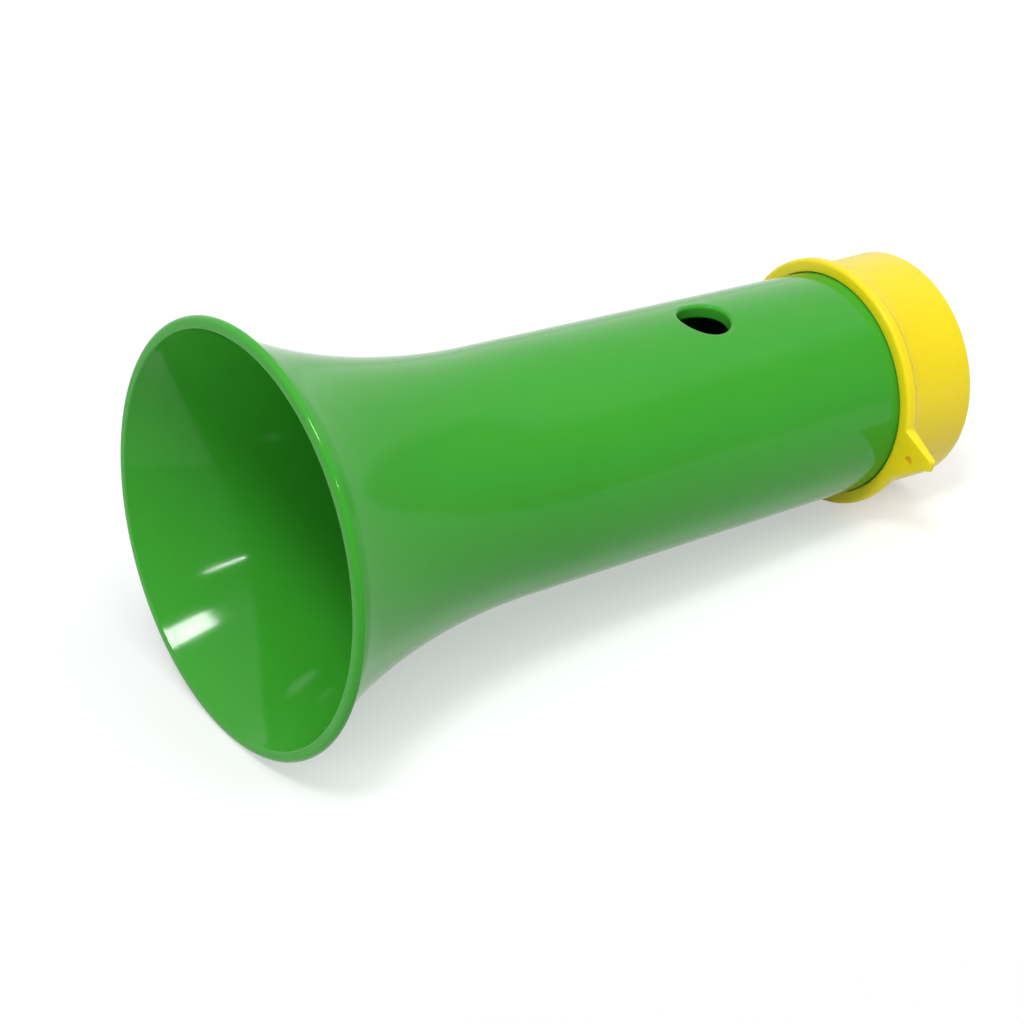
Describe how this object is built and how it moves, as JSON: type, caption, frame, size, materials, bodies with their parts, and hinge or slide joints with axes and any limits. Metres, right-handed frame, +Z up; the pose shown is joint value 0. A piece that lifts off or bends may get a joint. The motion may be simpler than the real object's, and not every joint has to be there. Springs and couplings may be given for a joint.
{
  "type": "vuvuzela",
  "caption": "Short flared plastic horn blown through a hole in its side, with an inner sound tube, a membrane and a push-on rear cap with an ear for a cord.",
  "frame": {"origin": "middle of the part's outline on the surface that it lies on", "axes": "+Z up, +X along the lying horn from the bell to the cap, so -Y is the side that the ear sticks out to"},
  "size_m": [0.1952, 0.0958, 0.0954],
  "materials": {
    "body_green": "glossy injection-moulded plastic",
    "inner_green": "glossy injection-moulded plastic",
    "film": "thin milky film",
    "hoop_white": "plain moulded plastic",
    "cap_yellow": "satin to glossy injection-moulded plastic"
  },
  "bodies": {
    "horn": {"horn_body": "body_green", "sound_tube": "inner_green"},
    "membrane_set": {"membrane": "film", "membrane_hoop": "hoop_white"},
    "cap": {"cap": "cap_yellow"}
  },
  "joints": [
    {"name": "cap_pull", "type": "slide", "parent": "horn", "child": "membrane_set", "axis": [0.9944, 0, -0.1057], "range_m": [0, 0.04]},
    {"name": "cap_twist", "type": "hinge", "parent": "membrane_set", "child": "cap", "pos_m": [0.07639, 0, 0.02993], "axis": [0.9944, 0, -0.1057], "continuous": true}
  ]
}
